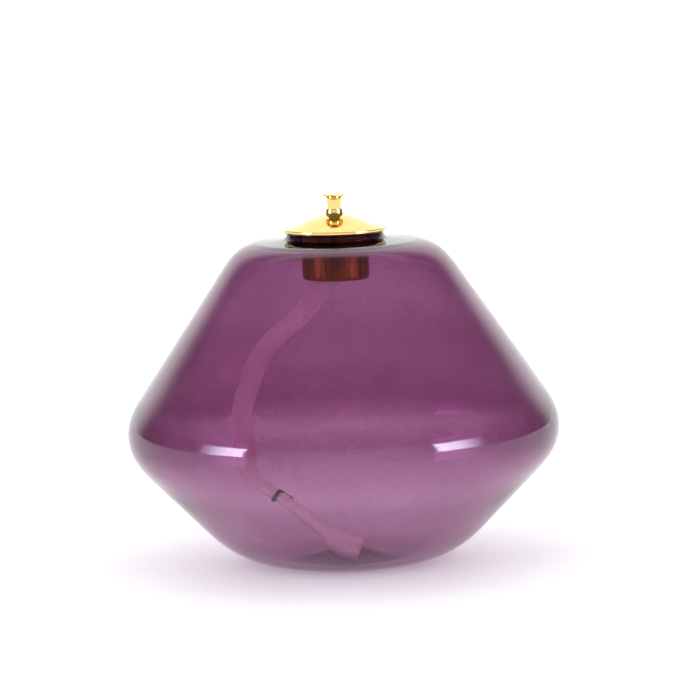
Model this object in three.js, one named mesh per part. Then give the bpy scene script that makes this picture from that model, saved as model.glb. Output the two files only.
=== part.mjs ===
// Table oil lamp: a blown-glass reservoir, a drop-in brass burner and a loose cotton wick.
// Millimetres, +Z up. The origin is on the base plane, under the centre of the widest ring (the belt).

import * as THREE from 'three';

// ---- Driving dimensions ------------------------------------------------------------------

const CLEARANCE = 0.3;                 // gap between pieces that touch
const degrees = (value) => value * Math.PI / 180;

// The reservoir's outline is a lower and an upper cone with rounded foot, belt and shoulder.
const glass = {
  shoulderZ: 104,
  beltCornerR: 74.6,                   // where the two cones would meet without the belt's rounding
  beltCornerZ: 40.9,
  lowerAngle: degrees(44.4),           // from vertical
  upperAngle: degrees(34.1),
  footFillet: 31,
  beltFillet: 16.4,
  shoulderFillet: 12,
  shoulderRise: 0.7,                   // the shoulder climbs this much on its way to the neck
  segments: 48,
};

// Height and wall thickness: blown glass is thick at the belt and thin below it.
const glassWalls = [
  [0, 1.3],
  [12, 1.5],
  [20, 1.6],
  [28, 1.3],
  [33, 1.5],
  [43, 3.1],
  [48, 3.0],
  [54, 2.3],
  [60, 2.4],
  [68, 2.6],
  [82, 2.1],
  [94, 2.2],
  [104, 2.3],
];

const neck = {
  x: -1,                               // the neck stands a little off the belt's centre
  topZ: 106.7,
  outerR: 16.1,
  lipR: 15.5,
  boreR: 11.4,
  lipFillet: 1,
  rootFillet: 1.2,
  skirtR: 20.8,                        // where the glass starts to climb to the neck
  skirtRise: 0.3,
  trueUpToR: 18,                       // the offset fades out between these two radii
  trueBeyondR: 40,
};

// The push-up in the base: a dome below, and inside a wide mound with a thicker lump on top.
const punt = { radius: 11, depth: 4.0 };
const mound = { radius: 26, height: 1.0 };
const lump = { radius: 12.5, height: 4.0 };

// The cap is a shallow cone with a rounded top and a flat rim.
const cap = {
  rimR: 16.7,
  rimZ: neck.topZ + CLEARANCE,         // the rim's lower edge, which rests on the neck
  rimHeight: 1,
  rimWidth: 2.4,
  edge: 0.4,
  slope: degrees(21.5),
  topR: 19.1,
  apexZ: 112.6,
  sheet: 0.8,
};

const tube = {
  outerR: 2.2,
  boreR: 1.75,
  bottomZ: 98.3,
  flangeZ: 118.6,
  flangeR: 3.9,
  flangeThick: 0.5,
  flareR: 2.55,
  flareHeight: 2.8,
  mouth: 0.7,                          // the bore's rounding at the top
};

// A small trumpet that closes the gap between the tube and the cap.
const ferrule = { outerR: 2.95, midR: 2.7, topR: 2.6, height: 1.5, foot: 0.25, edge: 0.1 };

const skirt = { outerR: 10.7, sheet: 0.7, bottomZ: 91.4, curlR: 1.4, openingR: 7.7, cornerFillet: 1 };

const washer = { outerR: 6.5, thick: 0.8 };
const nut = { acrossFlats: 8, height: 3 };

const wick = {
  diameter: 6.4,                       // loose, inside the reservoir
  squeezedR: 1.45,                     // where the tube squeezes it
  tipZ: 120.2,
  tipFillet: 0.5,
  sides: 10,
  steps: 24,
};

// The loose wick's route, from under the tube to its end on the reservoir's floor.
const wickRoute = [
  [-1.0, 0.0, 97.9],
  [-1.1, 0.0, 96.3],
  [-2.5, 0.0, 93.2],
  [-4.8, -0.1, 90.0],
  [-7.9, -0.4, 85.7],
  [-11.6, -0.9, 81.4],
  [-15.6, -1.4, 77.3],
  [-20.0, -1.9, 73.3],
  [-23.8, -2.4, 69.6],
  [-26.7, -2.8, 65.6],
  [-28.9, -3.0, 61.2],
  [-30.8, -3.1, 56.6],
  [-32.2, -3.2, 52.0],
  [-33.0, -3.4, 47.5],
  [-33.1, -3.8, 43.0],
  [-32.4, -4.5, 38.5],
  [-30.8, -5.5, 34.4],
  [-28.4, -6.9, 30.8],
  [-25.6, -8.5, 27.8],
  [-22.6, -10.1, 25.0],
  [-18.6, -12.0, 21.4],
  [-14.0, -14.0, 17.8],
  [-9.2, -15.4, 14.2],
  [-4.5, -16.0, 10.9],
  [-0.2, -16.1, 8.5],
  [4.0, -16.0, 7.0],
];

// The thread that binds the wick, at this share of the loose wick's length.
const binding = { along: 0.735, thread: 0.6 };

const fineSegments = 32;

// ---- Materials ---------------------------------------------------------------------------

const purpleGlass = () => new THREE.MeshStandardMaterial({
  color: 0x7d4a75, roughness: 0.05, metalness: 0, transparent: true, opacity: 0.45,
});
const brass = () => new THREE.MeshStandardMaterial({ color: 0xf0cf6a, roughness: 0.15, metalness: 1 });
const cotton = () => new THREE.MeshStandardMaterial({ color: 0xe6dccb, roughness: 0.95, metalness: 0 });
const blackThread = () => new THREE.MeshStandardMaterial({ color: 0x1c1a1e, roughness: 0.8, metalness: 0 });

// ---- Outline helpers: points are (radius, height) ----------------------------------------

const point = (r, z) => new THREE.Vector2(r, z);

function arc(centre, radius, fromAngle, toAngle, steps) {
  return Array.from({ length: steps + 1 }, (_, i) => {
    const angle = fromAngle + (toAngle - fromAngle) * i / steps;
    return point(centre.x + radius * Math.cos(angle), centre.y + radius * Math.sin(angle));
  });
}

const closed = (outline) => [...outline, outline[0].clone()];

// Height of the cap at a radius, for a skin this far below its top surface.
function domeZ(r, below = 0) {
  const topR = cap.topR - below;
  const coneR = topR * Math.sin(cap.slope);
  const roundR = Math.min(r, coneR);
  const roundZ = cap.apexZ - cap.topR + Math.sqrt(topR ** 2 - roundR ** 2);
  return roundZ - (r - roundR) * Math.tan(cap.slope);
}

// The cap's profile from one radius to another, as points.
function domeLine(fromR, toR, below, steps) {
  return Array.from({ length: steps + 1 }, (_, i) => {
    const r = fromR + (toR - fromR) * i / steps;
    return point(r, domeZ(r, below));
  });
}

function turned(outline, segments) {
  return new THREE.LatheGeometry(outline, segments).rotateX(Math.PI / 2);
}

function named(name, geometry, material) {
  const mesh = new THREE.Mesh(geometry, material);
  mesh.name = name;
  return mesh;
}

// ---- Reservoir ---------------------------------------------------------------------------

// Centres of the three roundings, worked out so that each is tangent to its cones.
function roundingCentres() {
  const { lowerAngle: lower, upperAngle: upper, beltCornerR, beltCornerZ } = glass;
  const footR = beltCornerR - beltCornerZ * Math.tan(lower);
  const foot = point(
    footR + glass.footFillet * Math.tan(lower) - glass.footFillet / Math.cos(lower),
    glass.footFillet,
  );
  const slopes = Math.tan(lower) + Math.tan(upper);
  const beltZ = beltCornerZ + glass.beltFillet * (1 / Math.cos(lower) - 1 / Math.cos(upper)) / slopes;
  const belt = point(footR + beltZ * Math.tan(lower) - glass.beltFillet / Math.cos(lower), beltZ);
  const shoulderZ = glass.shoulderZ - glass.shoulderFillet;
  const shoulder = point(
    beltCornerR - (shoulderZ - beltCornerZ) * Math.tan(upper) - glass.shoulderFillet / Math.cos(upper),
    shoulderZ,
  );
  return { foot, belt, shoulder };
}

const evenSteps = (from, to, steps) =>
  Array.from({ length: steps + 1 }, (_, i) => from + (to - from) * i / steps);

// Places along the outer skin from the foot to the shoulder, each with the angle that it faces.
function outerStations() {
  const { foot, belt, shoulder } = roundingCentres();
  const { lowerAngle: lower, upperAngle: upper, footFillet, beltFillet, shoulderFillet } = glass;
  const round = (centre, radius, angles) => angles.map((angle) => ({
    at: point(centre.x + radius * Math.cos(angle), centre.y + radius * Math.sin(angle)),
    angle,
  }));
  const straight = (from, to, steps) => evenSteps(0, 1, steps).slice(1, -1).map((share) => ({
    at: from.at.clone().lerp(to.at, share),
    angle: from.angle,
  }));
  const footArc = round(foot, footFillet, evenSteps(-Math.PI / 2, -lower, 5));
  const lowerBelt = round(belt, beltFillet, evenSteps(-lower, 0, 3));
  const upperBelt = round(belt, beltFillet, evenSteps(0, upper, 3).slice(1));
  const shoulderArc = round(shoulder, shoulderFillet, evenSteps(upper, Math.PI / 2, 4));
  return [
    ...footArc,
    ...straight(footArc.at(-1), lowerBelt[0], 3),
    ...lowerBelt,
    ...upperBelt,
    ...straight(upperBelt.at(-1), shoulderArc[0], 3),
    ...shoulderArc,
  ];
}

function wallAt(z) {
  const above = Math.max(1, glassWalls.findIndex(([height]) => height >= z));
  const [[lowZ, lowWall], [highZ, highWall]] = [glassWalls[above - 1], glassWalls[above]];
  return lowWall + (highWall - lowWall) * (z - lowZ) / (highZ - lowZ);
}

// A smooth bump of revolution, 0 beyond its radius.
function bump({ radius, height }, r) {
  return r < radius ? height * (1 + Math.cos(Math.PI * r / radius)) / 2 : 0;
}

function outerSkin() {
  const base = evenSteps(0, punt.radius, 5).map((r) => point(r, bump({ ...punt, height: punt.depth }, r)));
  return [...base, ...outerStations().map(({ at }) => at)];
}

// The inner skin follows the outer one by the wall's thickness, with the mound and lump on its floor.
function innerSkin() {
  const walls = outerStations().map(({ at, angle }) => {
    const wall = wallAt(at.y);
    return point(at.x - wall * Math.cos(angle), at.y - wall * Math.sin(angle));
  });
  const floor = evenSteps(0, walls[0].x, 7).slice(0, -1).map((r) => point(r, wallAt(0)));
  return [...floor, ...walls].map(({ x, y }) => point(x, y + bump(mound, x) + bump(lump, x)));
}

function neckOutside() {
  const root = point(neck.outerR + neck.rootFillet, glass.shoulderZ + glass.shoulderRise + neck.rootFillet);
  const lip = point(neck.lipR - neck.lipFillet, neck.topZ - neck.lipFillet);
  return [
    point(neck.skirtR, glass.shoulderZ + neck.skirtRise),
    ...arc(root, neck.rootFillet, -Math.PI / 2, -Math.PI, 3),
    ...arc(lip, neck.lipFillet, 0, Math.PI / 2, 3),
  ];
}

function neckInside() {
  const lip = point(neck.boreR + neck.lipFillet, neck.topZ - neck.lipFillet);
  const underZ = glass.shoulderZ - wallAt(glass.shoulderZ);
  const root = point(neck.boreR + neck.rootFillet, underZ + neck.rootFillet);
  return [
    ...arc(lip, neck.lipFillet, Math.PI / 2, Math.PI, 3),
    ...arc(root, neck.rootFillet, Math.PI, Math.PI * 1.5, 3),
  ];
}

// The neck and the shoulder around it stand off centre, and the offset fades out down the shoulder.
function moveNeck(geometry) {
  const position = geometry.attributes.position;
  for (let i = 0; i < position.count; i += 1) {
    const radius = Math.hypot(position.getX(i), position.getY(i));
    if (position.getZ(i) > glass.beltCornerZ && radius < neck.trueBeyondR) {
      const fade = 1 - THREE.MathUtils.smoothstep(radius, neck.trueUpToR, neck.trueBeyondR);
      position.setX(i, position.getX(i) + neck.x * fade);
    }
  }
  return geometry;
}

function reservoir() {
  const outline = [...outerSkin(), ...neckOutside(), ...neckInside(), ...innerSkin().reverse()];
  return named('glass_reservoir', moveNeck(turned(outline, glass.segments)), purpleGlass());
}

// ---- Burner, about its own axis ----------------------------------------------------------

function burnerCap() {
  const holeR = tube.outerR + CLEARANCE;
  const rimTop = cap.rimZ + cap.rimHeight;
  const innerR = cap.rimR - cap.rimWidth;
  const shoulderR = cap.rimR - cap.rimHeight;
  const outline = [
    ...domeLine(holeR, innerR, cap.sheet, 4),
    point(innerR + cap.sheet, cap.rimZ),
    point(cap.rimR - cap.edge, cap.rimZ),
    point(cap.rimR, cap.rimZ + cap.edge),
    point(cap.rimR, rimTop - cap.edge),
    point(cap.rimR - cap.edge, rimTop),
    ...domeLine(shoulderR, holeR, 0, 5),
  ];
  return named('burner_cap', turned(closed(outline), fineSegments), brass());
}

function wickTube() {
  const { outerR, boreR, flangeR, flareR, flangeZ, flangeThick, mouth } = tube;
  const flangeTop = flangeZ + flangeThick;
  const edge = flangeThick / 4;
  const outline = [
    point(boreR, tube.bottomZ),
    point(outerR, tube.bottomZ),
    point(outerR, flangeZ - tube.flareHeight),
    point((outerR * 2 + flareR) / 3, flangeZ - tube.flareHeight / 2),
    point(flareR, flangeZ - flangeThick),
    point(flareR + flangeThick, flangeZ),
    point(flangeR - edge, flangeZ),
    point(flangeR, flangeZ + flangeThick / 2),
    point(flangeR - edge, flangeTop),
    point(boreR + mouth, flangeTop),
    point(boreR, flangeTop - mouth),
  ];
  return named('wick_tube', turned(closed(outline), fineSegments), brass());
}

function tubeFerrule() {
  const innerR = tube.outerR + CLEARANCE;
  const footZ = domeZ(innerR) + CLEARANCE;
  const topZ = footZ + ferrule.height;
  const outline = [
    point(innerR, footZ),
    point(ferrule.outerR, footZ),
    point(ferrule.outerR, footZ + ferrule.foot),
    point(ferrule.midR, footZ + ferrule.foot * 2),
    point(ferrule.topR, topZ - ferrule.edge),
    point(ferrule.topR - ferrule.edge, topZ),
    point(innerR, topZ),
  ];
  return named('tube_ferrule', turned(closed(outline), fineSegments), brass());
}

// A drawn cup with its closed end up, nested under the dome, and its lower edge curled inwards.
function burnerSkirt() {
  const holeR = tube.outerR + CLEARANCE;
  const topBelow = cap.sheet + CLEARANCE;
  const innerR = skirt.outerR - skirt.sheet;
  const cornerR = skirt.outerR - skirt.cornerFillet;
  const corner = point(cornerR, domeZ(cornerR, topBelow) - skirt.cornerFillet);
  const curl = point(skirt.outerR - skirt.curlR, skirt.bottomZ + skirt.curlR);
  const outline = [
    ...domeLine(holeR, innerR - skirt.cornerFillet, topBelow + skirt.sheet, 3),
    point(innerR, corner.y - skirt.sheet),
    point(innerR, curl.y),
    point(curl.x, skirt.bottomZ + skirt.sheet),
    point(skirt.openingR, skirt.bottomZ + skirt.sheet),
    point(skirt.openingR, skirt.bottomZ),
    ...arc(curl, skirt.curlR, -Math.PI / 2, 0, 4),
    ...arc(corner, skirt.cornerFillet, 0, Math.PI / 2, 3),
    ...domeLine(cornerR - skirt.cornerFillet, holeR, topBelow, 3),
  ];
  return named('burner_skirt', turned(closed(outline), fineSegments), brass());
}

// The washer lies flat under the skirt's domed end and touches it at its outer edge.
const washerTopZ = domeZ(washer.outerR, cap.sheet + CLEARANCE + skirt.sheet) - CLEARANCE;

function skirtWasher() {
  const innerR = tube.outerR + CLEARANCE;
  const outline = [
    point(innerR, washerTopZ - washer.thick),
    point(washer.outerR, washerTopZ - washer.thick),
    point(washer.outerR, washerTopZ),
    point(innerR, washerTopZ),
  ];
  return named('skirt_washer', turned(closed(outline), fineSegments), brass());
}

function lockNut() {
  const cornerR = nut.acrossFlats / 2 / Math.cos(Math.PI / 6);
  const hexagon = new THREE.Shape(Array.from({ length: 6 }, (_, i) => {
    const angle = i * Math.PI / 3;
    return point(cornerR * Math.cos(angle), cornerR * Math.sin(angle));
  }));
  hexagon.holes.push(new THREE.Path().absarc(0, 0, tube.outerR + CLEARANCE, 0, Math.PI * 2, true));
  const geometry = new THREE.ExtrudeGeometry(hexagon, {
    depth: nut.height, bevelEnabled: false, curveSegments: fineSegments / 2,
  });
  geometry.translate(0, 0, washerTopZ - washer.thick - CLEARANCE - nut.height);
  return named('lock_nut', geometry, brass());
}

// The stretch of wick that the tube holds, from its lower end to the burning tip.
function wickUpper() {
  const tip = point(wick.squeezedR - wick.tipFillet, wick.tipZ - wick.tipFillet);
  const outline = [
    point(0, tube.bottomZ),
    point(wick.squeezedR, tube.bottomZ),
    ...arc(tip, wick.tipFillet, 0, Math.PI / 2, 3),
    point(0, wick.tipZ),
  ];
  return named('wick_upper', turned(outline, fineSegments / 2), cotton());
}

// ---- Loose wick --------------------------------------------------------------------------

const wickPoints = wickRoute.map((at) => new THREE.Vector3(...at));
const wickPath = new THREE.CatmullRomCurve3(wickPoints, false, 'centripetal');

function wickTail() {
  const section = new THREE.Shape(Array.from({ length: wick.sides }, (_, i) => {
    const angle = i * 2 * Math.PI / wick.sides;
    return point(wick.diameter / 2 * Math.cos(angle), wick.diameter / 2 * Math.sin(angle));
  }));
  const geometry = new THREE.ExtrudeGeometry(section, { steps: wick.steps, extrudePath: wickPath });
  return named('wick_tail', geometry, cotton());
}

// Two turns of thread, drawn as one ring around the wick.
function wickBinding() {
  const threadR = binding.thread / 2;
  const loop = new THREE.TorusGeometry(wick.diameter / 2 + CLEARANCE + threadR, threadR, 8, 24);
  const ring = named('wick_binding', loop, blackThread());
  ring.position.copy(wickPath.getPointAt(binding.along));
  const tangent = wickPath.getTangentAt(binding.along);
  ring.quaternion.setFromUnitVectors(new THREE.Vector3(0, 0, 1), tangent);
  return ring;
}

// ---- Assembly ----------------------------------------------------------------------------

const burner = new THREE.Group();
burner.position.x = neck.x;
burner.add(burnerCap(), wickTube(), tubeFerrule(), burnerSkirt(), skirtWasher(), lockNut(), wickUpper());

const lamp = new THREE.Group();
lamp.add(reservoir(), burner, wickTail(), wickBinding());

export default lamp;
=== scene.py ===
"""Oil lamp: a purple blown-glass reservoir, a polished brass burner and a loose cotton wick."""

import math
import random

import bmesh
import bpy
from mathutils import Matrix, Vector, noise


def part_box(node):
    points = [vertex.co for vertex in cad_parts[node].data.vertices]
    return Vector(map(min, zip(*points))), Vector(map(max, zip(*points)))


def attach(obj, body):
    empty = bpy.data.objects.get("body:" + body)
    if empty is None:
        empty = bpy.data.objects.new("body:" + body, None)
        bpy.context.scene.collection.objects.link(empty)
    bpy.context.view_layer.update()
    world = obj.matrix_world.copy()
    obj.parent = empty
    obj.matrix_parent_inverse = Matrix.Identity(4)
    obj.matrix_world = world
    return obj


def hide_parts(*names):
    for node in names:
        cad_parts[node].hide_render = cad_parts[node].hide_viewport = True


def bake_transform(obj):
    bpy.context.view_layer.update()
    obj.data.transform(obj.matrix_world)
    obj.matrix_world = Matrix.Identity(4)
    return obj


mm = 0.001

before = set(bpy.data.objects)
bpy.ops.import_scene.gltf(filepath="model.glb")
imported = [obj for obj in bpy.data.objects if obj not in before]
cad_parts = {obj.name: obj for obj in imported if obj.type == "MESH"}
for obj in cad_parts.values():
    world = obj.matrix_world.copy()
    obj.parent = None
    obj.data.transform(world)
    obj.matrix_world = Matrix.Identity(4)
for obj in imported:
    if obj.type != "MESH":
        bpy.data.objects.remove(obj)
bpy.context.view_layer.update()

# ---- Dimensions, from the frame where it has them --------------------------------------------

_, glass_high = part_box("glass_reservoir")
cap_low, cap_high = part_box("burner_cap")
tube_low, tube_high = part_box("wick_tube")
ferrule_low, ferrule_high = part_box("tube_ferrule")
skirt_low, skirt_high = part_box("burner_skirt")
washer_low, washer_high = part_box("skirt_washer")
nut_low, nut_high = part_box("lock_nut")
upper_low, upper_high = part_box("wick_upper")

BURNER_X = (cap_low.x + cap_high.x) / 2

# The reservoir's outline: two cones that would meet in a corner at the belt, and their roundings. The
# belt's rounding starts tighter than the CAD's 16.4 mm, because easing the outline flattens it.
SHOULDER_Z = 104 * mm
SHOULDER_RISE = 0.7 * mm
NECK_TOP_Z = glass_high.z
LOWER_ANGLE = math.radians(44.4)
UPPER_ANGLE = math.radians(34.1)
BELT_CORNER_R = 74.6 * mm
BELT_CORNER_Z = 40.9 * mm
FOOT_FILLET = 31 * mm
BELT_FILLET = 15.6 * mm
SHOULDER_FILLET = 12 * mm

# Height and wall thickness in millimetres: blown glass is uneven, and thickest at the belt.
WALLS = [
    (0, 1.3), (12, 1.5), (20, 1.6), (28, 1.3), (33, 1.5), (43, 3.1), (48, 3.0),
    (54, 2.3), (60, 2.4), (68, 2.6), (82, 2.1), (94, 2.2), (104, 2.3),
]

# A wall is averaged with those up to this many millimetres below and above it. The reach changes from the
# lower value to the upper one between two heights. WALL_SAMPLES are taken on each side.
LOWER_EASING = 4.0
UPPER_EASING = 2.0
EASING_CHANGES = (38 * mm, 50 * mm)
WALL_SAMPLES = 4

# The skin's outline: how many points it has, how many neighbours on each side a point is averaged with, and
# how often. Sudden changes of curvature in thick glass would show the wick twice.
SKIN_POINTS = 180
SKIN_EASING = 4
SKIN_PASSES = 2

# Steps in the outline's parts: the push-up, the floor inside, the three roundings and the two cones.
PUNT_STEPS = 20
FLOOR_STEPS = 24
FOOT_STEPS = 28
BELT_STEPS = 40
SHOULDER_STEPS = 26
LOWER_CONE_STEPS = 14
UPPER_CONE_STEPS = 24
GLASS_SEGMENTS = 192

NECK_R = 16.1 * mm
NECK_LIP_R = 15.5 * mm
NECK_SKIRT_R = 20.8 * mm
NECK_SKIRT_RISE = 0.3 * mm
NECK_BORE_R = 11.4 * mm

# The neck is off centre by BURNER_X. Its surroundings follow it in full up to the first radius, and not at
# all beyond the second.
NECK_TRUE_UP_TO_R = 18 * mm
NECK_TRUE_BEYOND_R = 40 * mm

# The slow waves of blown glass: their height, their number per metre, and where they set in and end.
SWELL = 0.12 * mm
SWELL_FREQUENCY = 24
SWELL_SETS_IN = (2 * mm, 12 * mm)
SWELL_ENDS = (92 * mm, 102 * mm)

# Bumps of revolution in the base, as (radius, height): the push-up below, and a mound and a lump inside.
PUNT = (11 * mm, 4.0 * mm)
MOUND = (26 * mm, 1.0 * mm)
LUMP = (12.5 * mm, 4.0 * mm)

WICK_D = 6.4 * mm

# The loose wick's route in millimetres, from under the tube to the reservoir's floor.
WICK_ROUTE = [
    (-1.0, 0.0, 97.9),
    (-1.1, 0.0, 96.3),
    (-2.5, 0.0, 93.2),
    (-4.8, -0.1, 90.0),
    (-7.9, -0.4, 85.7),
    (-11.6, -0.9, 81.4),
    (-15.6, -1.4, 77.3),
    (-20.0, -1.9, 73.3),
    (-23.8, -2.4, 69.6),
    (-26.7, -2.8, 65.6),
    (-28.9, -3.0, 61.2),
    (-30.8, -3.1, 56.6),
    (-32.2, -3.2, 52.0),
    (-33.0, -3.4, 47.5),
    (-33.1, -3.8, 43.0),
    (-32.4, -4.5, 38.5),
    (-30.8, -5.5, 34.4),
    (-28.4, -6.9, 30.8),
    (-25.6, -8.5, 27.8),
    (-22.6, -10.1, 25.0),
    (-18.6, -12.0, 21.4),
    (-14.0, -14.0, 17.8),
    (-9.2, -15.4, 14.2),
    (-4.5, -16.0, 10.9),
    (-0.2, -16.1, 8.5),
    (4.0, -16.0, 7.0),
]

# Where the binding is, as a share of the loose wick's length.
BINDING_ALONG = 0.735

# ---- Camera ----------------------------------------------------------------------------------

# The camera stands at a distance and elevation from CAMERA_TARGET, and looks at CAMERA_AIM.
CAMERA_TARGET = Vector((0, 0, 50 * mm))
CAMERA_DISTANCE = 1.3
CAMERA_ELEVATION = math.radians(8.13)
CAMERA_ROLL = math.radians(1.68)
CAMERA_AIM = Vector((2.76 * mm, 0, 68.2 * mm))
FOCAL_LENGTH = 206.6
SENSOR_WIDTH = 36


def make_camera():
    data = bpy.data.cameras.new("camera")
    data.lens = FOCAL_LENGTH
    data.sensor_width = SENSOR_WIDTH
    data.clip_start = 0.05
    data.clip_end = 50
    camera = bpy.data.objects.new("camera", data)
    back = Vector((0, -math.cos(CAMERA_ELEVATION), math.sin(CAMERA_ELEVATION)))
    camera.location = CAMERA_TARGET + back * CAMERA_DISTANCE
    look = (CAMERA_AIM - camera.location).to_track_quat("-Z", "Y")
    camera.rotation_mode = "QUATERNION"
    camera.rotation_quaternion = look @ Matrix.Rotation(-CAMERA_ROLL, 4, "Z").to_quaternion()
    bpy.context.scene.collection.objects.link(camera)
    bpy.context.scene.camera = camera


# ---- Curves and outlines ---------------------------------------------------------------------

SPLINE_STEPS = 24


def smoothstep(value, low, high):
    """0 up to low and 1 from high on, with a smooth rise between."""
    t = min(max((value - low) / (high - low), 0), 1)
    return t * t * (3 - 2 * t)


def bell(distance, width):
    """1 at no distance, falling off smoothly over about the width."""
    return math.exp(-((distance / width) ** 2))


def catmull_rom(points, count):
    """Points evenly spaced along a centripetal Catmull-Rom curve through the given ones."""
    ends = [points[0] * 2 - points[1], *points, points[-1] * 2 - points[-2]]
    fine = []
    for p0, p1, p2, p3 in zip(ends, ends[1:], ends[2:], ends[3:]):
        t0 = 0
        t1 = t0 + (p1 - p0).length ** 0.5
        t2 = t1 + (p2 - p1).length ** 0.5
        t3 = t2 + (p3 - p2).length ** 0.5
        for step in range(SPLINE_STEPS):
            t = t1 + (t2 - t1) * step / SPLINE_STEPS
            a1 = p0.lerp(p1, (t - t0) / (t1 - t0))
            a2 = p1.lerp(p2, (t - t1) / (t2 - t1))
            a3 = p2.lerp(p3, (t - t2) / (t3 - t2))
            b1 = a1.lerp(a2, (t - t0) / (t2 - t0))
            b2 = a2.lerp(a3, (t - t1) / (t3 - t1))
            fine.append(b1.lerp(b2, (t - t1) / (t2 - t1)))
    fine.append(points[-1])
    return evenly(fine, count)


def path_length(points):
    return sum((b - a).length for a, b in zip(points, points[1:]))


def evenly(points, count):
    """This many points at equal distances along the polyline."""
    step = path_length(points) / (count - 1)
    out, travelled, wanted = [points[0].copy()], 0.0, step
    for a, b in zip(points, points[1:]):
        span = (b - a).length
        while wanted <= travelled + span and len(out) < count - 1:
            out.append(a.lerp(b, (wanted - travelled) / span))
            wanted += step
        travelled += span
    return [*out, points[-1].copy()]


def frames_along(points):
    """(tangent, side, up) at each point, turning as little as possible along the curve."""
    tangents = [(b - a).normalized() for a, b in zip(points, points[1:])]
    tangents.append(tangents[-1])
    side = tangents[0].orthogonal().normalized()
    made = []
    for tangent in tangents:
        side = (side - tangent * side.dot(tangent)).normalized()
        made.append((tangent, side, tangent.cross(side)))
    return made


def rounded(corners, closed=False, steps=5):
    """An outline from corners (radius, height, setback). The setback is how far off its rounding starts."""
    outline = []
    for i, (r, z, setback) in enumerate(corners):
        here = Vector((r, z))
        if not setback or (not closed and i in (0, len(corners) - 1)):
            outline.append((r, z))
            continue
        before = Vector(corners[i - 1][:2])
        after = Vector(corners[(i + 1) % len(corners)][:2])
        start = here + (before - here).normalized() * setback
        end = here + (after - here).normalized() * setback
        for step in range(steps + 1):
            t = step / steps
            point = start.lerp(here, t).lerp(here.lerp(end, t), t)
            outline.append((point.x, point.y))
    return outline


# ---- Mesh helpers ----------------------------------------------------------------------------

# A lathe's outline point this near the axis is on it.
ON_AXIS = 1e-7


def mesh_object(name, verts, faces, material, smooth=True, uvs=None):
    """An object from vertices and faces, with a UV map if uvs lists each face's corners."""
    mesh = bpy.data.meshes.new(name)
    mesh.from_pydata(verts, [], faces)
    if uvs:
        layer = mesh.uv_layers.new(name="along")
        layer.data.foreach_set("uv", [value for corners in uvs for pair in corners for value in pair])
    work = bmesh.new()
    work.from_mesh(mesh)
    bmesh.ops.recalc_face_normals(work, faces=work.faces)
    work.to_mesh(mesh)
    work.free()
    mesh.polygons.foreach_set("use_smooth", [smooth] * len(mesh.polygons))
    mesh.materials.append(material)
    piece = bpy.data.objects.new(name, mesh)
    bpy.context.scene.collection.objects.link(piece)
    return piece


def lathe(name, outline, material, axis_x=0.0, segments=128, closed=True, move=None):
    """A solid of revolution. An outline that isn't closed on itself starts and ends on the axis.

    move, where there is one, is given each vertex and returns the vertex that takes its place.
    """
    verts, rings = [], []
    for r, z in outline:
        if r < ON_AXIS:
            rings.append([len(verts)] * segments)
            verts.append(Vector((axis_x, 0, z)))
            continue
        rings.append(list(range(len(verts), len(verts) + segments)))
        for i in range(segments):
            angle = 2 * math.pi * i / segments
            verts.append(Vector((axis_x + r * math.cos(angle), r * math.sin(angle), z)))
    pairs = list(zip(rings, rings[1:]))
    if closed:
        pairs.append((rings[-1], rings[0]))
    faces = []
    for low, high in pairs:
        for i in range(segments):
            j = (i + 1) % segments
            corners = (low[i], low[j], high[j], high[i])
            faces.append(tuple(dict.fromkeys(corners)))
    if move is not None:
        verts = [move(v) for v in verts]
    return mesh_object(name, verts, faces, material)


def tube_along(name, points, radius_at, material, sides):
    """A closed tube whose surface is radius_at(share along, angle) from the curve.

    Its UV map has u round the tube and v along it.
    """
    total = len(points)
    verts = []
    for i, (point, (_, side, up)) in enumerate(zip(points, frames_along(points))):
        for k in range(sides):
            angle = 2 * math.pi * k / sides
            reach = radius_at(i / (total - 1), angle)
            verts.append(point + (side * math.cos(angle) + up * math.sin(angle)) * reach)
    faces, uvs = [], []
    for i in range(total - 1):
        low, high = i * sides, (i + 1) * sides
        v_low, v_high = i / total, (i + 1) / total
        for k in range(sides):
            after = (k + 1) % sides
            u, u_after = k / sides, (k + 1) / sides
            faces.append((low + k, low + after, high + after, high + k))
            uvs.append([(u, v_low), (u_after, v_low), (u_after, v_high), (u, v_high)])
    for centre, ring in ((points[0], 0), (points[-1], total - 1)):
        verts.append(centre)
        v = ring / total
        for k in range(sides):
            u, u_after = k / sides, (k + 1) / sides
            faces.append((ring * sides + k, ring * sides + (k + 1) % sides, len(verts) - 1))
            uvs.append([(u, v), (u_after, v), (u, v)])
    return mesh_object(name, verts, faces, material, uvs=uvs)


def joined(name, pieces):
    """One object from several, with the first one's material."""
    work = bmesh.new()
    for piece in pieces:
        work.from_mesh(piece.data)
    mesh = pieces[0].data
    work.to_mesh(mesh)
    work.free()
    mesh.name = name
    for piece in pieces[1:]:
        bpy.data.objects.remove(piece)
    pieces[0].name = name
    return pieces[0]


# ---- Materials -------------------------------------------------------------------------------


def node_material(name):
    """(material, its node tree, its Principled shader)"""
    material = bpy.data.materials.new(name)
    material.use_nodes = True
    tree = material.node_tree
    return material, tree, tree.nodes["Principled BSDF"]


def add(tree, kind, **values):
    """A node with some of its inputs set, or fed from another node's output. A _ stands for a space."""
    node = tree.nodes.new(kind)
    for name, value in values.items():
        key = name.replace("_", " ")
        if key not in node.inputs:
            setattr(node, name, value)
        elif isinstance(value, bpy.types.NodeSocket):
            tree.links.new(value, node.inputs[key])
        else:
            node.inputs[key].default_value = value
    return node


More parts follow.
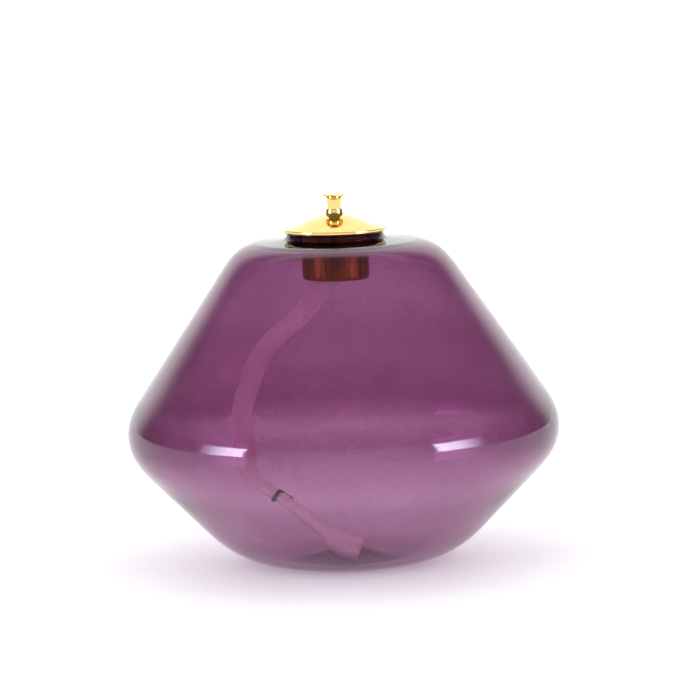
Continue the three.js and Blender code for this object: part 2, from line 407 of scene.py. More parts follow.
def ramp(tree, factor, stops):
    """A colour from stops (position, colour), for a factor from 0 to 1."""
    node = tree.nodes.new("ShaderNodeValToRGB")
    tree.links.new(factor, node.inputs["Fac"])
    elements = node.color_ramp.elements
    while len(elements) < len(stops):
        elements.new(0.5)
    for element, (position, colour) in zip(elements, stops):
        element.position = position
        element.color = (*colour, 1)
    return node.outputs["Color"]


def mapped(tree, value, low, high):
    """A 0 to 1 value spread between two others."""
    node = add(tree, "ShaderNodeMapRange", Value=value)
    node.inputs["To Min"].default_value = low
    node.inputs["To Max"].default_value = high
    return node.outputs["Result"]


def math_node(tree, operation, first, second):
    node = tree.nodes.new("ShaderNodeMath")
    node.operation = operation
    for socket, value in zip(node.inputs, (first, second)):
        if isinstance(value, bpy.types.NodeSocket):
            tree.links.new(value, socket)
        else:
            socket.default_value = value
    return node.outputs["Value"]


def product(tree, *values):
    result = values[0]
    for value in values[1:]:
        result = math_node(tree, "MULTIPLY", result, value)
    return result


def rising(tree, value, low, high):
    """0 up to low and 1 from high on, with a smooth rise between."""
    node = add(tree, "ShaderNodeMapRange", Value=value)
    node.interpolation_type = "SMOOTHSTEP"
    node.inputs["From Min"].default_value = low
    node.inputs["From Max"].default_value = high
    return node.outputs["Result"]


def one_minus(tree, value):
    return math_node(tree, "SUBTRACT", 1.0, value)


def falling(tree, value, low, high):
    return one_minus(tree, rising(tree, value, low, high))


def noise_value(tree, vector, scale, detail=3.0, roughness=0.5):
    """Noise from 0 to 1, of about scale features per unit of the vector."""
    node = add(tree, "ShaderNodeTexNoise", Vector=vector, Scale=scale, Detail=detail, Roughness=roughness)
    return node.outputs["Fac"]


def object_place(tree):
    """The place on the piece, in metres."""
    return tree.nodes.new("ShaderNodeTexCoord").outputs["Object"]


def stretched(tree, vector, scale):
    """The vector with each axis scaled by its own number."""
    return add(tree, "ShaderNodeMapping", Vector=vector, Scale=scale).outputs["Vector"]


def roughen(tree, shader, height, strength, distance):
    """Bumps from a height map, this strong and this high."""
    bumps = add(tree, "ShaderNodeBump", Strength=strength, Distance=distance, Height=height)
    tree.links.new(bumps.outputs["Normal"], shader.inputs["Normal"])


# The glass is clear, and coloured by what its body absorbs per metre.
GLASS_BODY = (0.5, 0.083, 0.39, 1)
GLASS_DENSITY = 600
GLASS_IOR = 1.5


def purple_glass():
    """Clear blown glass with colour in its body, faint clouds, a fine grain and a slight ripple."""
    material, tree, shader = node_material("purple_glass")
    place = object_place(tree)
    shader.inputs["Roughness"].default_value = 0.0
    shader.inputs["IOR"].default_value = GLASS_IOR
    shader.inputs["Transmission Weight"].default_value = 1.0
    clouds, grain = noise_value(tree, place, 45), noise_value(tree, place, 650)
    halved = math_node(tree, "MULTIPLY", math_node(tree, "ADD", clouds, grain), 0.5)
    tint = ramp(tree, halved, [(0.38, (0.90, 0.87, 0.91)), (0.62, (1, 1, 1))])
    tree.links.new(tint, shader.inputs["Base Color"])
    roughen(tree, shader, noise_value(tree, place, 35, 1.0), 0.08, 0.2 * mm)
    body = tree.nodes.new("ShaderNodeVolumeAbsorption")
    body.inputs["Color"].default_value = GLASS_BODY
    body.inputs["Density"].default_value = GLASS_DENSITY
    tree.links.new(body.outputs["Volume"], tree.nodes["Material Output"].inputs["Volume"])
    return material


def brass(name, bright, deep, smooth, rough, ring_strength, grain):
    """Turned brass: a warm metal with faint rings about its axis and a little patchy variation.

    Its patches go from deep to bright and its roughness from smooth to rough. The grain is the patches'
    number per metre along each axis.
    """
    material, tree, shader = node_material(name)
    place = object_place(tree)
    shader.inputs["Metallic"].default_value = 1.0
    patches = noise_value(tree, stretched(tree, place, grain), 1, 4.0)
    tree.links.new(ramp(tree, patches, [(0.3, deep), (0.7, bright)]), shader.inputs["Base Color"])
    wear = noise_value(tree, place, 900, 2.0)
    tree.links.new(mapped(tree, wear, smooth, rough), shader.inputs["Roughness"])
    centred = add(tree, "ShaderNodeMapping", Vector=place, Location=(-BURNER_X, 0, 0))
    rings = add(tree, "ShaderNodeTexWave", Vector=centred.outputs["Vector"], Scale=900, Distortion=0.3)
    rings.wave_type = "RINGS"
    rings.rings_direction = "Z"
    roughen(tree, shader, rings.outputs["Fac"], ring_strength, 0.02 * mm)
    return material


def cotton():
    """Soft braided yarn: fine fibres along the strands, with small changes of colour."""
    material, tree, shader = node_material("cotton_wick")
    place = object_place(tree)
    along = tree.nodes.new("ShaderNodeTexCoord").outputs["UV"]
    shader.inputs["Roughness"].default_value = 0.95
    shader.inputs["Sheen Weight"].default_value = 0.25
    shader.inputs["Specular IOR Level"].default_value = 0.2
    fibres = noise_value(tree, stretched(tree, along, (60, 30, 1)), 3, 6.0, 0.7)
    shades = [(0.25, (0.80, 0.76, 0.72)), (0.5, (0.95, 0.93, 0.91)), (0.8, (0.98, 0.97, 0.96))]
    tree.links.new(ramp(tree, fibres, shades), shader.inputs["Base Color"])
    fuzz = noise_value(tree, place, 2500)
    roughen(tree, shader, math_node(tree, "ADD", fibres, fuzz), 0.6, 0.15 * mm)
    return material


def black_thread():
    """Sewing thread: near black, with a fine nap."""
    material, tree, shader = node_material("black_thread")
    shader.inputs["Roughness"].default_value = 0.8
    shader.inputs["Sheen Weight"].default_value = 0.3
    fibres = noise_value(tree, object_place(tree), 6000)
    shades = [(0.3, (0.008, 0.004, 0.007)), (0.8, (0.03, 0.015, 0.025))]
    tree.links.new(ramp(tree, fibres, shades), shader.inputs["Base Color"])
    roughen(tree, shader, fibres, 0.5, 0.05 * mm)
    return material


# ---- Reservoir -------------------------------------------------------------------------------


def rounding_centres():
    """Centres of the foot's, belt's and shoulder's roundings, each tangent to its cones."""
    lower_slope, upper_slope = math.tan(LOWER_ANGLE), math.tan(UPPER_ANGLE)
    foot_r = BELT_CORNER_R - BELT_CORNER_Z * lower_slope
    foot = (foot_r + FOOT_FILLET * lower_slope - FOOT_FILLET / math.cos(LOWER_ANGLE), FOOT_FILLET)
    rise = BELT_FILLET * (1 / math.cos(LOWER_ANGLE) - 1 / math.cos(UPPER_ANGLE))
    belt_z = BELT_CORNER_Z + rise / (lower_slope + upper_slope)
    belt = (foot_r + belt_z * lower_slope - BELT_FILLET / math.cos(LOWER_ANGLE), belt_z)
    shoulder_z = SHOULDER_Z - SHOULDER_FILLET
    shoulder_cone_r = BELT_CORNER_R - (shoulder_z - BELT_CORNER_Z) * upper_slope
    shoulder = (shoulder_cone_r - SHOULDER_FILLET / math.cos(UPPER_ANGLE), shoulder_z)
    return foot, belt, shoulder


def exact_outline():
    """(radius, height) along the cones and their roundings, from the foot to the shoulder."""
    foot, belt, shoulder = rounding_centres()

    def arc(centre, radius, start, end, steps):
        angles = [start + (end - start) * i / steps for i in range(steps + 1)]
        return [(centre[0] + radius * math.cos(a), centre[1] + radius * math.sin(a)) for a in angles]

    def straight(start, end, steps):
        """The points between start and end, without those two."""
        shares = [i / steps for i in range(1, steps)]
        return [tuple(a + (b - a) * share for a, b in zip(start, end)) for share in shares]

    foot_arc = arc(foot, FOOT_FILLET, -math.pi / 2, -LOWER_ANGLE, FOOT_STEPS)
    belt_arc = arc(belt, BELT_FILLET, -LOWER_ANGLE, UPPER_ANGLE, BELT_STEPS)
    shoulder_arc = arc(shoulder, SHOULDER_FILLET, UPPER_ANGLE, math.pi / 2, SHOULDER_STEPS)
    return [
        *foot_arc,
        *straight(foot_arc[-1], belt_arc[0], LOWER_CONE_STEPS),
        *belt_arc,
        *straight(belt_arc[-1], shoulder_arc[0], UPPER_CONE_STEPS),
        *shoulder_arc,
    ]


def outer_stations():
    """(radius, height, angle faced) along that outline, with every change of its curvature eased."""
    points = evenly([Vector(point) for point in exact_outline()], SKIN_POINTS)
    last = SKIN_POINTS - 1
    for _ in range(SKIN_PASSES):
        reaches = [min(SKIN_EASING, i, last - i) for i in range(SKIN_POINTS)]
        points = [
            sum(points[i - reach:i + reach + 1], Vector((0, 0))) / (2 * reach + 1)
            for i, reach in enumerate(reaches)
        ]
    stations = []
    for i, point in enumerate(points):
        along = points[min(i + 1, last)] - points[max(i - 1, 0)]
        stations.append((point.x, point.y, math.atan2(-along.x, along.y)))
    return stations


def wall_at(z):
    """The wall's thickness at a height, eased between the listed ones."""

    def listed(height):
        for (low_z, low_wall), (high_z, high_wall) in zip(WALLS, WALLS[1:]):
            if height <= high_z:
                return low_wall + (high_wall - low_wall) * (height - low_z) / (high_z - low_z)
        return WALLS[-1][1]

    reach = LOWER_EASING + (UPPER_EASING - LOWER_EASING) * smoothstep(z, *EASING_CHANGES)
    steps = range(-WALL_SAMPLES, WALL_SAMPLES + 1)
    around = [min(max(z / mm + reach * step / WALL_SAMPLES, 0), WALLS[-1][0]) for step in steps]
    return sum(listed(height) for height in around) / len(around) * mm


def mound_height(shape, r):
    """The height at radius r of a bump of revolution, given as (radius, height)."""
    radius, height = shape
    return height * (1 + math.cos(math.pi * r / radius)) / 2 if r < radius else 0.0


def outer_skin(stations):
    radii = [PUNT[0] * i / PUNT_STEPS for i in range(PUNT_STEPS + 1)]
    base = [(r, mound_height(PUNT, r)) for r in radii]
    return [*base, *((r, z) for r, z, _ in stations)]


def inner_skin(stations):
    """Inside the outer skin by the wall's thickness, with the mound and the lump on its floor."""
    walls = []
    for r, z, angle in stations:
        wall = wall_at(z)
        walls.append((r - wall * math.cos(angle), z - wall * math.sin(angle)))
    floor_r = walls[0][0]
    floor = [(floor_r * i / FLOOR_STEPS, wall_at(0)) for i in range(FLOOR_STEPS)]
    return [(r, z + mound_height(MOUND, r) + mound_height(LUMP, r)) for r, z in [*floor, *walls]]


def glass_outline():
    """The whole section of the vessel: up the outer skin, over the neck and down the inner skin."""
    stations = outer_stations()
    outer, inner = outer_skin(stations), inner_skin(stations)
    neck = rounded(
        [
            (*outer[-1], 0),
            (NECK_SKIRT_R, SHOULDER_Z + NECK_SKIRT_RISE, 2.5 * mm),
            (NECK_R, SHOULDER_Z + SHOULDER_RISE, 1.4 * mm),
            (NECK_LIP_R, NECK_TOP_Z, 0.8 * mm),
            (NECK_BORE_R, NECK_TOP_Z, 1.1 * mm),
            (NECK_BORE_R, inner[-1][1], 1.4 * mm),
            (*inner[-1], 0),
        ],
        steps=10,
    )
    return [*outer[:-1], *neck, *reversed(inner[:-1])]


def blown(vertex):
    """The neck stands off centre, and blown glass is never quite even."""
    radius = math.hypot(vertex.x, vertex.y)
    moved = vertex.copy()
    if vertex.z > BELT_CORNER_Z:
        moved.x += BURNER_X * (1 - smoothstep(radius, NECK_TRUE_UP_TO_R, NECK_TRUE_BEYOND_R))
    share = smoothstep(vertex.z, *SWELL_SETS_IN) * (1 - smoothstep(vertex.z, *SWELL_ENDS))
    swell = noise.noise(vertex * SWELL_FREQUENCY) * SWELL * share
    if radius > 0:
        moved.x += vertex.x / radius * swell
        moved.y += vertex.y / radius * swell
    return moved


def make_reservoir(glass):
    piece = lathe("reservoir", glass_outline(), glass, segments=GLASS_SEGMENTS, closed=False, move=blown)
    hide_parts("glass_reservoir")
    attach(piece, "reservoir")


# ---- Burner ----------------------------------------------------------------------------------

# The cap is a cone with a domed top: its slope, the dome's radius and the apex, and its sheet's thickness.
CAP_R = (cap_high.x - cap_low.x) / 2
CAP_SLOPE = math.radians(21.5)
CAP_TOP_R = 19.1 * mm
DOME_APEX_Z = 112.6 * mm
SHEET = 0.8 * mm

# The tube, and the holes that the cap, the skirt, the washer and the nut have for it.
TUBE_R = 2.2 * mm
TUBE_BORE_R = 1.75 * mm
FLANGE_R = (tube_high.x - tube_low.x) / 2
HOLE_R = TUBE_R + 0.05 * mm

# The skirt hangs close under the cap, and its lower edge is turned in to a mouth.
SKIRT_R = (skirt_high.x - skirt_low.x) / 2
SKIRT_SHEET = 0.7 * mm
SKIRT_UNDER_CAP = 0.3 * mm
SKIRT_MOUTH_R = 7.7 * mm

# The nut's turned corners are this far down its sides.
NUT_CHAMFER = 0.45 * mm


def dome_z(r, below=0.0):
    """Height of the cap at a radius, for a skin this far below its top surface."""
    top_r = CAP_TOP_R - below
    round_r = min(r, top_r * math.sin(CAP_SLOPE))
    round_z = DOME_APEX_Z - CAP_TOP_R + math.sqrt(top_r ** 2 - round_r ** 2)
    return round_z - (r - round_r) * math.tan(CAP_SLOPE)


def dome_line(start, end, below, steps):
    """Outline points (radius, height) on such a skin, from one radius to another."""
    radii = [start + (end - start) * i / steps for i in range(steps + 1)]
    return [(r, dome_z(r, below)) for r in radii]


def burner_piece(name, outline, material, node, slot, **turning):
    """A turned piece that rides with the burner in place of a node."""
    piece = lathe(name, outline, material, axis_x=BURNER_X, **turning)
    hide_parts(node)
    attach(piece, "burner")


def polar(vertex):
    """(radius, angle) of a vertex about the burner's axis."""
    x, y = vertex.x - BURNER_X, vertex.y
    return math.hypot(x, y), math.atan2(y, x)


def make_cap(metal):
    rim_low = cap_low.z
    edge = rounded(
        [
            (CAP_R - 2.4 * mm, dome_z(CAP_R - 2.4 * mm, SHEET), 0),
            (CAP_R - 1.6 * mm, rim_low, 0.3 * mm),
            (CAP_R, rim_low, 0.4 * mm),
            (CAP_R, rim_low + 1.15 * mm, 0.35 * mm),
            (CAP_R - 1.0 * mm, dome_z(CAP_R - 1.0 * mm), 0),
        ],
        steps=7,
    )
    outline = [
        *dome_line(HOLE_R, CAP_R - 2.6 * mm, SHEET, 24),
        *edge,
        *dome_line(CAP_R - 1.2 * mm, HOLE_R, 0, 36),
    ]
    burner_piece("cap_dome", outline, metal, "burner_cap", "polished_brass")


def make_tube(metal):
    top = tube_high.z
    outline = rounded(
        [
            (TUBE_BORE_R, tube_low.z, 0.1 * mm),
            (TUBE_R, tube_low.z, 0.1 * mm),
            (TUBE_R, top - 6.0 * mm, 1.0 * mm),
            (TUBE_R - 0.05 * mm, top - 3.6 * mm, 1.4 * mm),
            (TUBE_R + 0.3 * mm, top - 1.2 * mm, 0.8 * mm),
            (TUBE_R + 0.8 * mm, top - 0.5 * mm, 0.35 * mm),
            (FLANGE_R, top - 0.45 * mm, 0.12 * mm),
            (FLANGE_R, top - 0.1 * mm, 0.12 * mm),
            (TUBE_BORE_R + 0.5 * mm, top, 0.35 * mm),
            (TUBE_BORE_R, top - 1.0 * mm, 0.4 * mm),
        ],
        closed=True,
        steps=8,
    )

    def spun(vertex):
        """The flange was rolled by hand, and its edge is a little wavy."""
        radius, angle = polar(vertex)
        share = smoothstep(radius, TUBE_R + 0.6 * mm, FLANGE_R)
        wave = math.sin(3 * angle + 1) + math.sin(5 * angle) - 1.5
        return vertex + Vector((0, 0, 0.1 * mm * share * wave))

    burner_piece("wick_tube_turned", outline, metal, "wick_tube", "polished_brass", move=spun)


def make_ferrule(metal):
    """The tube's flared foot. It reaches down onto the cap, and the CAD's stops just above it."""
    low, high = ferrule_low.z - 0.3 * mm, ferrule_high.z
    foot_r = (ferrule_high.x - ferrule_low.x) / 2
    outline = rounded(
        [
            (TUBE_R + 0.02 * mm, low, 0),
            (foot_r, low - 0.1 * mm, 0.05 * mm),
            (foot_r - 0.2 * mm, low + 0.5 * mm, 0.35 * mm),
            (foot_r - 0.36 * mm, high - 0.05 * mm, 0.1 * mm),
            (TUBE_R + 0.02 * mm, high, 0),
        ],
        closed=True,
        steps=7,
    )
    burner_piece("tube_foot_ferrule", outline, metal, "tube_ferrule", "polished_brass")


def make_skirt(metal):
    inner_r = SKIRT_R - SKIRT_SHEET
    top_below = SHEET + SKIRT_UNDER_CAP
    corner_z = dome_z(SKIRT_R - 1 * mm, top_below)
    wall = rounded(
        [
            (inner_r - 1 * mm, dome_z(inner_r - 1 * mm, top_below + SKIRT_SHEET), 0),
            (inner_r, corner_z - SKIRT_SHEET, 0.6 * mm),
            (inner_r, skirt_low.z + SKIRT_SHEET, 0.9 * mm),
            (SKIRT_MOUTH_R, skirt_low.z + SKIRT_SHEET, 0.1 * mm),
            (SKIRT_MOUTH_R, skirt_low.z, 0.1 * mm),
            (SKIRT_R, skirt_low.z, 1.5 * mm),
            (SKIRT_R, corner_z, 1.0 * mm),
            (SKIRT_R - 1.6 * mm, dome_z(SKIRT_R - 1.6 * mm, top_below), 0),
        ],
        steps=8,
    )
    outline = [
        *dome_line(HOLE_R, inner_r - 1.3 * mm, top_below + SKIRT_SHEET, 12),
        *wall,
        *dome_line(SKIRT_R - 1.9 * mm, HOLE_R, top_below, 12),
    ]
    burner_piece("skirt_sleeve", outline, metal, "burner_skirt", "drawn_brass")


def make_washer(metal):
    outer_r = (washer_high.x - washer_low.x) / 2
    outline = rounded(
        [
            (HOLE_R, washer_low.z, 0.1 * mm),
            (outer_r, washer_low.z, 0.2 * mm),
            (outer_r, washer_high.z, 0.2 * mm),
            (HOLE_R, washer_high.z, 0.1 * mm),
        ],
        closed=True,
    )
    burner_piece("clamp_washer", outline, metal, "skirt_washer", "drawn_brass")


def make_nut(metal):
    """A hexagon nut with turned corners: each outline point is pulled in to the hexagon's flats."""
    corner_r = (nut_high.x - nut_low.x) / 2
    flat_r = (nut_high.y - nut_low.y) / 2
    outline = rounded(
        [
            (HOLE_R + 0.25 * mm, nut_low.z, 0),
            (flat_r - 0.1 * mm, nut_low.z, 0),
            (corner_r, nut_low.z + NUT_CHAMFER, 0.1 * mm),
            (corner_r, nut_high.z - NUT_CHAMFER, 0.1 * mm),
            (flat_r - 0.1 * mm, nut_high.z, 0),
            (HOLE_R + 0.25 * mm, nut_high.z, 0),
            (HOLE_R, nut_high.z - 0.3 * mm, 0),
            (HOLE_R, nut_low.z + 0.3 * mm, 0),
        ],
        closed=True,
        steps=3,
    )

    def hexagonal(vertex):
        radius, angle = polar(vertex)
        off_flat = (angle + math.pi / 2) % (math.pi / 3) - math.pi / 6
        pulled = min(radius, flat_r / math.cos(off_flat))
        return Vector((BURNER_X + pulled * math.cos(angle), pulled * math.sin(angle), vertex.z))

    burner_piece(
        "lock_nut_hexagon", outline, metal, "lock_nut", "drawn_brass", segments=96, move=hexagonal
    )


# ---- Wick ------------------------------------------------------------------------------------

WICK_R = WICK_D / 2
BRAID_STRANDS = 6
BRAID_PITCH = 22 * mm
BRAID_RELIEF = 0.05

# The meshes of the loose and the held wick: points along them, and sides.
LOOSE_POINTS, LOOSE_SIDES = 320, 60
HELD_POINTS, HELD_SIDES = 90, 40

# The loose wick's radius, as shares of WICK_R: what the tube, the binding's pull and its thread take off,
# and over what lengths (the binding's pull: over what share of the wick).
TUBE_SQUEEZE, TUBE_SQUEEZE_LENGTH = 0.34, 7 * mm
BINDING_PULL, BINDING_PULL_SHARE = 0.3, 0.2
BINDING_PINCH, BINDING_PINCH_WIDTH = 0.14, 2.0 * mm

# Its end flares over the last stretch, everywhere by the first share and sideways by the second one more.
FLARE_LENGTH, FLARE_END = 15 * mm, 1 * mm
FLARE_ROUND, FLARE_WIDE = 0.15, 1.3

# The cut yarns at its end: their number, the half width and half depth that they spread over, and how far
# back in the wick they start.
FRAY_YARNS = 34
FRAY_WIDE = 4.7 * mm
FRAY_DEEP = 2.4 * mm
FRAY_START = 2.5 * mm
GOLDEN_ANGLE = math.pi * (3 - math.sqrt(5))

# The binding: its turns, the steps in each, their spacing, and the radii of the thread and of the loops. The
# loops lean along the wick at their sides, and in front by a share of what would show them edge on.
BINDING_TURNS = 2
BINDING_STEPS = 40
BINDING_SPACING = 0.35 * mm
BINDING_THREAD_R = 0.56 * mm
BINDING_R = WICK_R * 0.7 + 0.2 * mm
BINDING_SIDE_LEAN = 0.7 * mm
BINDING_FRONT_LEAN = 0.4

# The held wick: its radius in the tube, how much more it has at its open top, its braid's relief, and how far
# down it goes past the CAD's, into the loose wick.
HELD_R = 1.62 * mm
HELD_SPREAD = 0.35 * mm
HELD_RELIEF = 0.04
HELD_OVERLAP = 2.2 * mm


def braid(distance, angle):
    """Relief of a round braid, from -1 to 1: two sets of strands cross, over and under in turn."""
    turn = 2 * math.pi * distance / BRAID_PITCH
    left = BRAID_STRANDS * (angle + turn)
    right = BRAID_STRANDS * (angle - turn)
    over = math.cos((left + right) / 2)
    first = math.cos(left / 2) ** 2
    second = math.cos(right / 2) ** 2
    share = 0.5 + 0.5 * over
    return 2 * (first * share + second * (1 - share)) - 1


def make_tail(material):
    """The loose wick along its route: (object, points along its middle, length)."""
    route = [Vector(p) * mm for p in WICK_ROUTE]
    points = catmull_rom(route, LOOSE_POINTS)
    length = path_length(points)
    tangent, side, up = frames_along(points)[-1]
    wide = tangent.cross(Vector((0, 1, 0))).normalized()
    flare_turn = math.atan2(wide.dot(up), wide.dot(side))

    def radius_at(share, angle):
        distance = share * length
        squeeze = 1 - TUBE_SQUEEZE * (1 - smoothstep(distance, 0, TUBE_SQUEEZE_LENGTH))
        pinch = 1 - BINDING_PINCH * bell((share - BINDING_ALONG) * length, BINDING_PINCH_WIDTH)
        tight = 1 - BINDING_PULL * smoothstep(share, BINDING_ALONG - BINDING_PULL_SHARE, BINDING_ALONG)
        flare = smoothstep(distance, length - FLARE_LENGTH, length - FLARE_END)
        wide_share = abs(math.cos(angle - flare_turn))
        spread = 1 + flare * (FLARE_ROUND + FLARE_WIDE * wide_share ** 1.3)
        relief = 1 + BRAID_RELIEF * braid(distance, angle) * (1 - 0.6 * flare)
        strands = 1 + 0.05 * flare * math.cos(18 * angle + 3 * noise.noise(Vector((angle, share * 60, 0))))
        lumps = 1 + 0.08 * noise.noise(Vector((distance / (9 * mm), math.cos(angle), math.sin(angle))))
        return WICK_R * squeeze * pinch * tight * spread * relief * strands * lumps

    tail = tube_along("wick_loose", points, radius_at, material, LOOSE_SIDES)
    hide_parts("wick_tail")
    return tail, points, length


def make_fray(material, points):
    """Cut yarn ends that stand out of the wick's flared end."""
    tangent, _, _ = frames_along(points)[-1]
    wide = tangent.cross(Vector((0, 1, 0))).normalized()
    deep = tangent.cross(wide)
    end = points[-1]
    rng = random.Random(7)
    yarns = []
    for i in range(FRAY_YARNS):
        spread = math.sqrt((i + 0.5) / FRAY_YARNS)
        turn = i * GOLDEN_ANGLE
        across = spread * math.cos(turn) * FRAY_WIDE
        high = spread * math.sin(turn) * FRAY_DEEP
        base = end + wide * (across * 0.88) + deep * high - tangent * FRAY_START
        tip = end + wide * across * 1.04 + deep * high * 1.05 + tangent * rng.uniform(0.2, 1.0) * mm
        bow = (wide * rng.uniform(-0.3, 0.3) + deep * rng.uniform(-0.2, 0.3)) * mm
        curve = catmull_rom([base, base.lerp(tip, 0.5) + bow, tip], 9)
        thick = rng.uniform(0.45, 0.62) * mm

        def yarn_r(share, _, thick=thick):
            return thick * (1 - 0.3 * share ** 3)

        yarns.append(tube_along(f"yarn_{i}", curve, yarn_r, material, 10))
    fray = joined("wick_frayed_end", yarns)
    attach(fray, "reservoir")
    return fray


def make_binding(material, points, length):
    """Two turns of thread round the pinched wick, knotted, with one short end trailing."""
    at = round(BINDING_ALONG * (len(points) - 1))
    tangent, _, _ = frames_along(points)[at]
    outward = Vector((0, -1, 0))
    across = tangent.cross(outward).normalized()
    near = across.cross(tangent)
    if across.z < 0:
        across = -across
    centre = points[at]
    edge_on_lean = BINDING_R * outward.dot(tangent) / outward.dot(near)
    route = []
    for i in range(BINDING_TURNS * BINDING_STEPS + 1):
        turn = i / BINDING_STEPS
        angle = 2 * math.pi * turn
        shift = (
            (turn - BINDING_TURNS / 2) * BINDING_SPACING
            - BINDING_SIDE_LEAN * math.cos(angle)
            + BINDING_FRONT_LEAN * edge_on_lean * math.sin(angle)
        )
        around = across * math.cos(angle) + near * math.sin(angle)
        route.append(centre + tangent * shift + around * BINDING_R)
    loops = tube_along("binding_loops", route, lambda *_: BINDING_THREAD_R, material, 10)
    knot = centre + across * (BINDING_R + 0.25 * mm) + near * 0.6 * mm
    trailing = [
        knot - tangent * 0.3 * mm,
        knot + across * 0.3 * mm + tangent * 0.6 * mm,
        knot + across * 0.1 * mm + tangent * 2.2 * mm,
        knot + across * 0.3 * mm + tangent * 3.9 * mm,
        knot - across * 0.1 * mm + tangent * 4.9 * mm,
    ]

    def thread_r(share, _):
        """Thickest at the knot, and once more near the trailing end."""
        knots = bell(share, 0.08) + 0.8 * bell(share - 0.85, 0.09)
        return (0.2 + 0.4 * knots) * mm

    end = tube_along("binding_end", catmull_rom(trailing, 40), thread_r, material, 8)
    thread = joined("binding_thread", [loops, end])
    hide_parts("wick_binding")
    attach(thread, "reservoir")
    return thread


def make_wick_tip(material):
    """The stretch of wick in the tube, with its tip just above the flange."""
    low = upper_low.z - HELD_OVERLAP
    top = upper_high.z
    points = evenly([Vector((BURNER_X, 0, low)), Vector((BURNER_X, 0, top))], HELD_POINTS)
    length = top - low

    def radius_at(share, angle):
        distance = share * length
        open_top = smoothstep(distance, length - 1.6 * mm, length - 0.4 * mm)
        crown = 1 - 0.55 * smoothstep(distance, length - 0.5 * mm, length) ** 2
        relief = 1 + HELD_RELIEF * braid(distance, angle)
        return (HELD_R + HELD_SPREAD * open_top) * crown * relief

    piece = tube_along("wick_held", points, radius_at, material, HELD_SIDES)
    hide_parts("wick_upper")
    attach(piece, "wick")


# ---- Studio ----------------------------------------------------------------------------------

# What lights the paper and the cotton: an even glow, much brighter near the table's height, and a little
# brighter from behind than from in front.
FILL = 1.4
LOW_FILL = 8.0
LOW_FILL_TOP = 0.33
BACK_FILL = 0.25

# The floor itself glows evenly with a faint pink, which is painted light: it lifts the lamp's shadow on the
# paper and tints it pink, as light through the glass would.
PAINTED_FLOOR_GLOW = 0.22
PAINTED_FLOOR_GLOW_COLOUR = (0.88, 0.77, 0.87, 1)
FLOOR_REACH = 6
FLOOR_DROP = 0.05 * mm

# What the glass and the brass reflect, as strengths: a dim room, the white sweep behind the lamp, a soft
# overhead towards the back and a low glow in front.
ROOM = 0.2
BACKDROP = 1.35
OVERHEAD = 1.1
FRONT = 0.9

# Where those set in and are full, by the direction looked in: x is right, y is away and z is up, from -1
# to 1. The sweep goes by y, less at the sides and more higher up. The front glow ends between its values.
SWEEP_Y = (0.42, 0.75)
SWEEP_SIDES = -0.3
SWEEP_RISE = 0.1
OVERHEAD_Y = (0.2, 0.45)
OVERHEAD_Z = (0.7, 0.85)
FRONT_Y = (-0.8, -0.6)
FRONT_Z = (0.2, 0.35)

# A softbox at each side, at the lamp's own height. It has a crisp front edge and fades to its back.
SOFTBOX = 20.0
SOFTBOX_COLOUR = (0.80, 0.80, 1.0, 1)
LEFT_SOFTBOX_FRONT = -0.575
RIGHT_SOFTBOX_FRONT = -0.645
SOFTBOX_EDGE = 0.02
SOFTBOX_FADES_FROM = 0.04
SOFTBOX_DEPTH = 0.50
SOFTBOX_TOP = 0.30
SOFTBOX_TOP_EDGE = 0.05


def reflected_room(tree, x, y, z):
    """Strength of the room and its lit walls, for the direction looked in."""
    sideways = math_node(tree, "MULTIPLY", math_node(tree, "ABSOLUTE", x, 0.0), SWEEP_SIDES)
    risen = math_node(tree, "MULTIPLY", z, SWEEP_RISE)
    behind = math_node(tree, "ADD", math_node(tree, "ADD", y, sideways), risen)
    sweep = product(tree, rising(tree, behind, *SWEEP_Y), BACKDROP - ROOM)
    above = product(tree, rising(tree, y, *OVERHEAD_Y), rising(tree, z, *OVERHEAD_Z), OVERHEAD - ROOM)
    front = product(tree, falling(tree, y, *FRONT_Y), falling(tree, z, *FRONT_Z), FRONT - ROOM)
    lit_walls = math_node(tree, "MAXIMUM", math_node(tree, "MAXIMUM", sweep, above), front)
    return math_node(tree, "ADD", lit_walls, ROOM)


def softboxes(tree, x, y, z):
    """1 in both softboxes and 0 outside them."""
    on_right = math_node(tree, "GREATER_THAN", x, 0.0)
    shift = math_node(tree, "MULTIPLY", on_right, LEFT_SOFTBOX_FRONT - RIGHT_SOFTBOX_FRONT)
    depth = math_node(tree, "ADD", y, shift)
    front, back = LEFT_SOFTBOX_FRONT, LEFT_SOFTBOX_FRONT + SOFTBOX_DEPTH
    return product(
        tree,
        rising(tree, depth, front - SOFTBOX_EDGE, front + SOFTBOX_EDGE),
        falling(tree, depth, front + SOFTBOX_FADES_FROM, back),
        falling(tree, z, SOFTBOX_TOP - SOFTBOX_TOP_EDGE, SOFTBOX_TOP),
    )


def fill_light(tree, y, z):
    """Strength of what lights the paper and the cotton."""
    glow = product(tree, falling(tree, z, 0.0, LOW_FILL_TOP), LOW_FILL)
    from_behind = math_node(tree, "ADD", math_node(tree, "MULTIPLY", y, BACK_FILL), 1.0)
    return math_node(tree, "MULTIPLY", math_node(tree, "ADD", glow, FILL), from_behind)


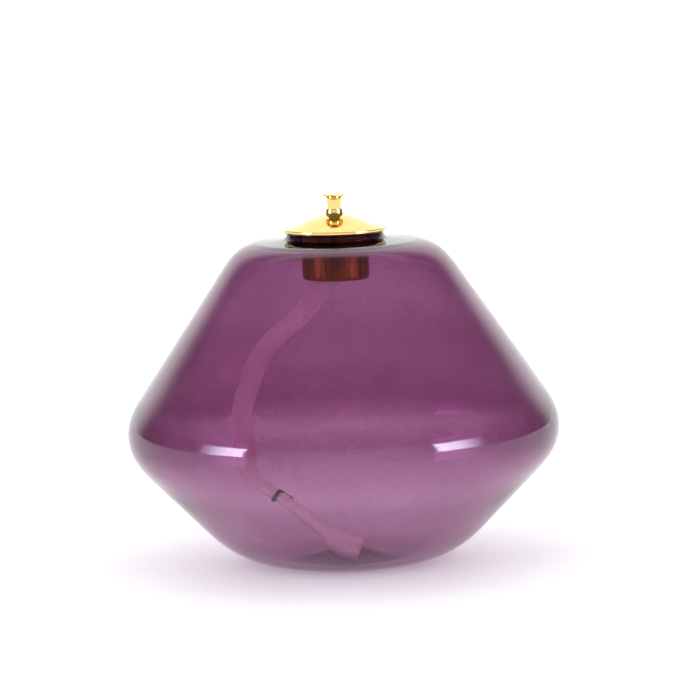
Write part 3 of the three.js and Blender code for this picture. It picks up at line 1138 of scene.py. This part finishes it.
def make_world():
    """The whole studio: reflections show the room and its softboxes, and the fill lights matt surfaces."""
    world = bpy.data.worlds.new("studio")
    bpy.context.scene.world = world
    world.use_nodes = True
    tree = world.node_tree
    background = tree.nodes["Background"]
    background.inputs["Color"].default_value = (1, 1, 1, 1)
    direction = tree.nodes.new("ShaderNodeTexCoord").outputs["Generated"]
    parts = add(tree, "ShaderNodeSeparateXYZ", Vector=direction)
    x, y, z = parts.outputs["X"], parts.outputs["Y"], parts.outputs["Z"]

    depth = tree.nodes.new("ShaderNodeLightPath").outputs["Diffuse Depth"]
    matt = math_node(tree, "GREATER_THAN", depth, 0.5)
    surround = tree.nodes.new("ShaderNodeMix")
    tree.links.new(matt, surround.inputs["Factor"])
    tree.links.new(reflected_room(tree, x, y, z), surround.inputs["A"])
    tree.links.new(fill_light(tree, y, z), surround.inputs["B"])
    tree.links.new(surround.outputs["Result"], background.inputs["Strength"])

    lamps = tree.nodes.new("ShaderNodeBackground")
    lamps.inputs["Color"].default_value = SOFTBOX_COLOUR
    shown = product(tree, softboxes(tree, x, y, z), one_minus(tree, matt), SOFTBOX)
    tree.links.new(shown, lamps.inputs["Strength"])
    both = tree.nodes.new("ShaderNodeAddShader")
    tree.links.new(background.outputs["Background"], both.inputs[0])
    tree.links.new(lamps.outputs["Background"], both.inputs[1])
    tree.links.new(both.outputs["Shader"], tree.nodes["World Output"].inputs["Surface"])


def make_floor():
    """Pale paper with a painted pink glow, which lifts and tints the lamp's shadow on it."""
    material, tree, shader = node_material("floor_paper")
    clouds = noise_value(tree, object_place(tree), 3, 2.0)
    shades = [(0.3, (0.66, 0.66, 0.66)), (0.7, (0.68, 0.68, 0.68))]
    tree.links.new(ramp(tree, clouds, shades), shader.inputs["Base Color"])
    shader.inputs["Roughness"].default_value = 0.7
    shader.inputs["Specular IOR Level"].default_value = 0.2
    # Painted light: the paper's even pink glow stands in for light that passes through the glass onto it.
    shader.inputs["Emission Color"].default_value = PAINTED_FLOOR_GLOW_COLOUR
    shader.inputs["Emission Strength"].default_value = PAINTED_FLOOR_GLOW
    signs = [(-1, -1), (1, -1), (1, 1), (-1, 1)]
    corners = [Vector((x * FLOOR_REACH, y * FLOOR_REACH, 0)) for x, y in signs]
    floor = mesh_object("floor", corners, [(0, 1, 2, 3)], material, smooth=False)
    floor.location.z = -FLOOR_DROP


def set_view_and_light_paths():
    """Plain colours, and enough bounces for light to pass both walls of the glass."""
    scene = bpy.context.scene
    scene.view_settings.view_transform = "Standard"
    scene.cycles.max_bounces = 24
    scene.cycles.transmission_bounces = 20
    scene.cycles.glossy_bounces = 12
    scene.cycles.diffuse_bounces = 5
    scene.cycles.blur_glossy = 0.3


# ---- The lamp --------------------------------------------------------------------------------

make_camera()

cotton_yarn = cotton()
thread = black_thread()
tail, tail_points, tail_length = make_tail(cotton_yarn)
fray = make_fray(cotton_yarn, tail_points)
bound = make_binding(thread, tail_points, tail_length)
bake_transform(tail)

polished = brass(
    "polished_brass",
    bright=(0.90, 0.66, 0.24),
    deep=(0.87, 0.62, 0.20),
    smooth=0.04,
    rough=0.08,
    ring_strength=0.04,
    grain=(300, 300, 300),
)
drawn = brass(
    "drawn_brass",
    bright=(0.50, 0.27, 0.06),
    deep=(0.24, 0.12, 0.02),
    smooth=0.34,
    rough=0.46,
    ring_strength=0.1,
    grain=(900, 900, 40),
)
make_reservoir(purple_glass())
make_cap(polished)
make_tube(polished)
make_ferrule(polished)
make_skirt(drawn)
make_washer(drawn)
make_nut(drawn)
make_wick_tip(cotton_yarn)

make_world()
make_floor()
set_view_and_light_paths()
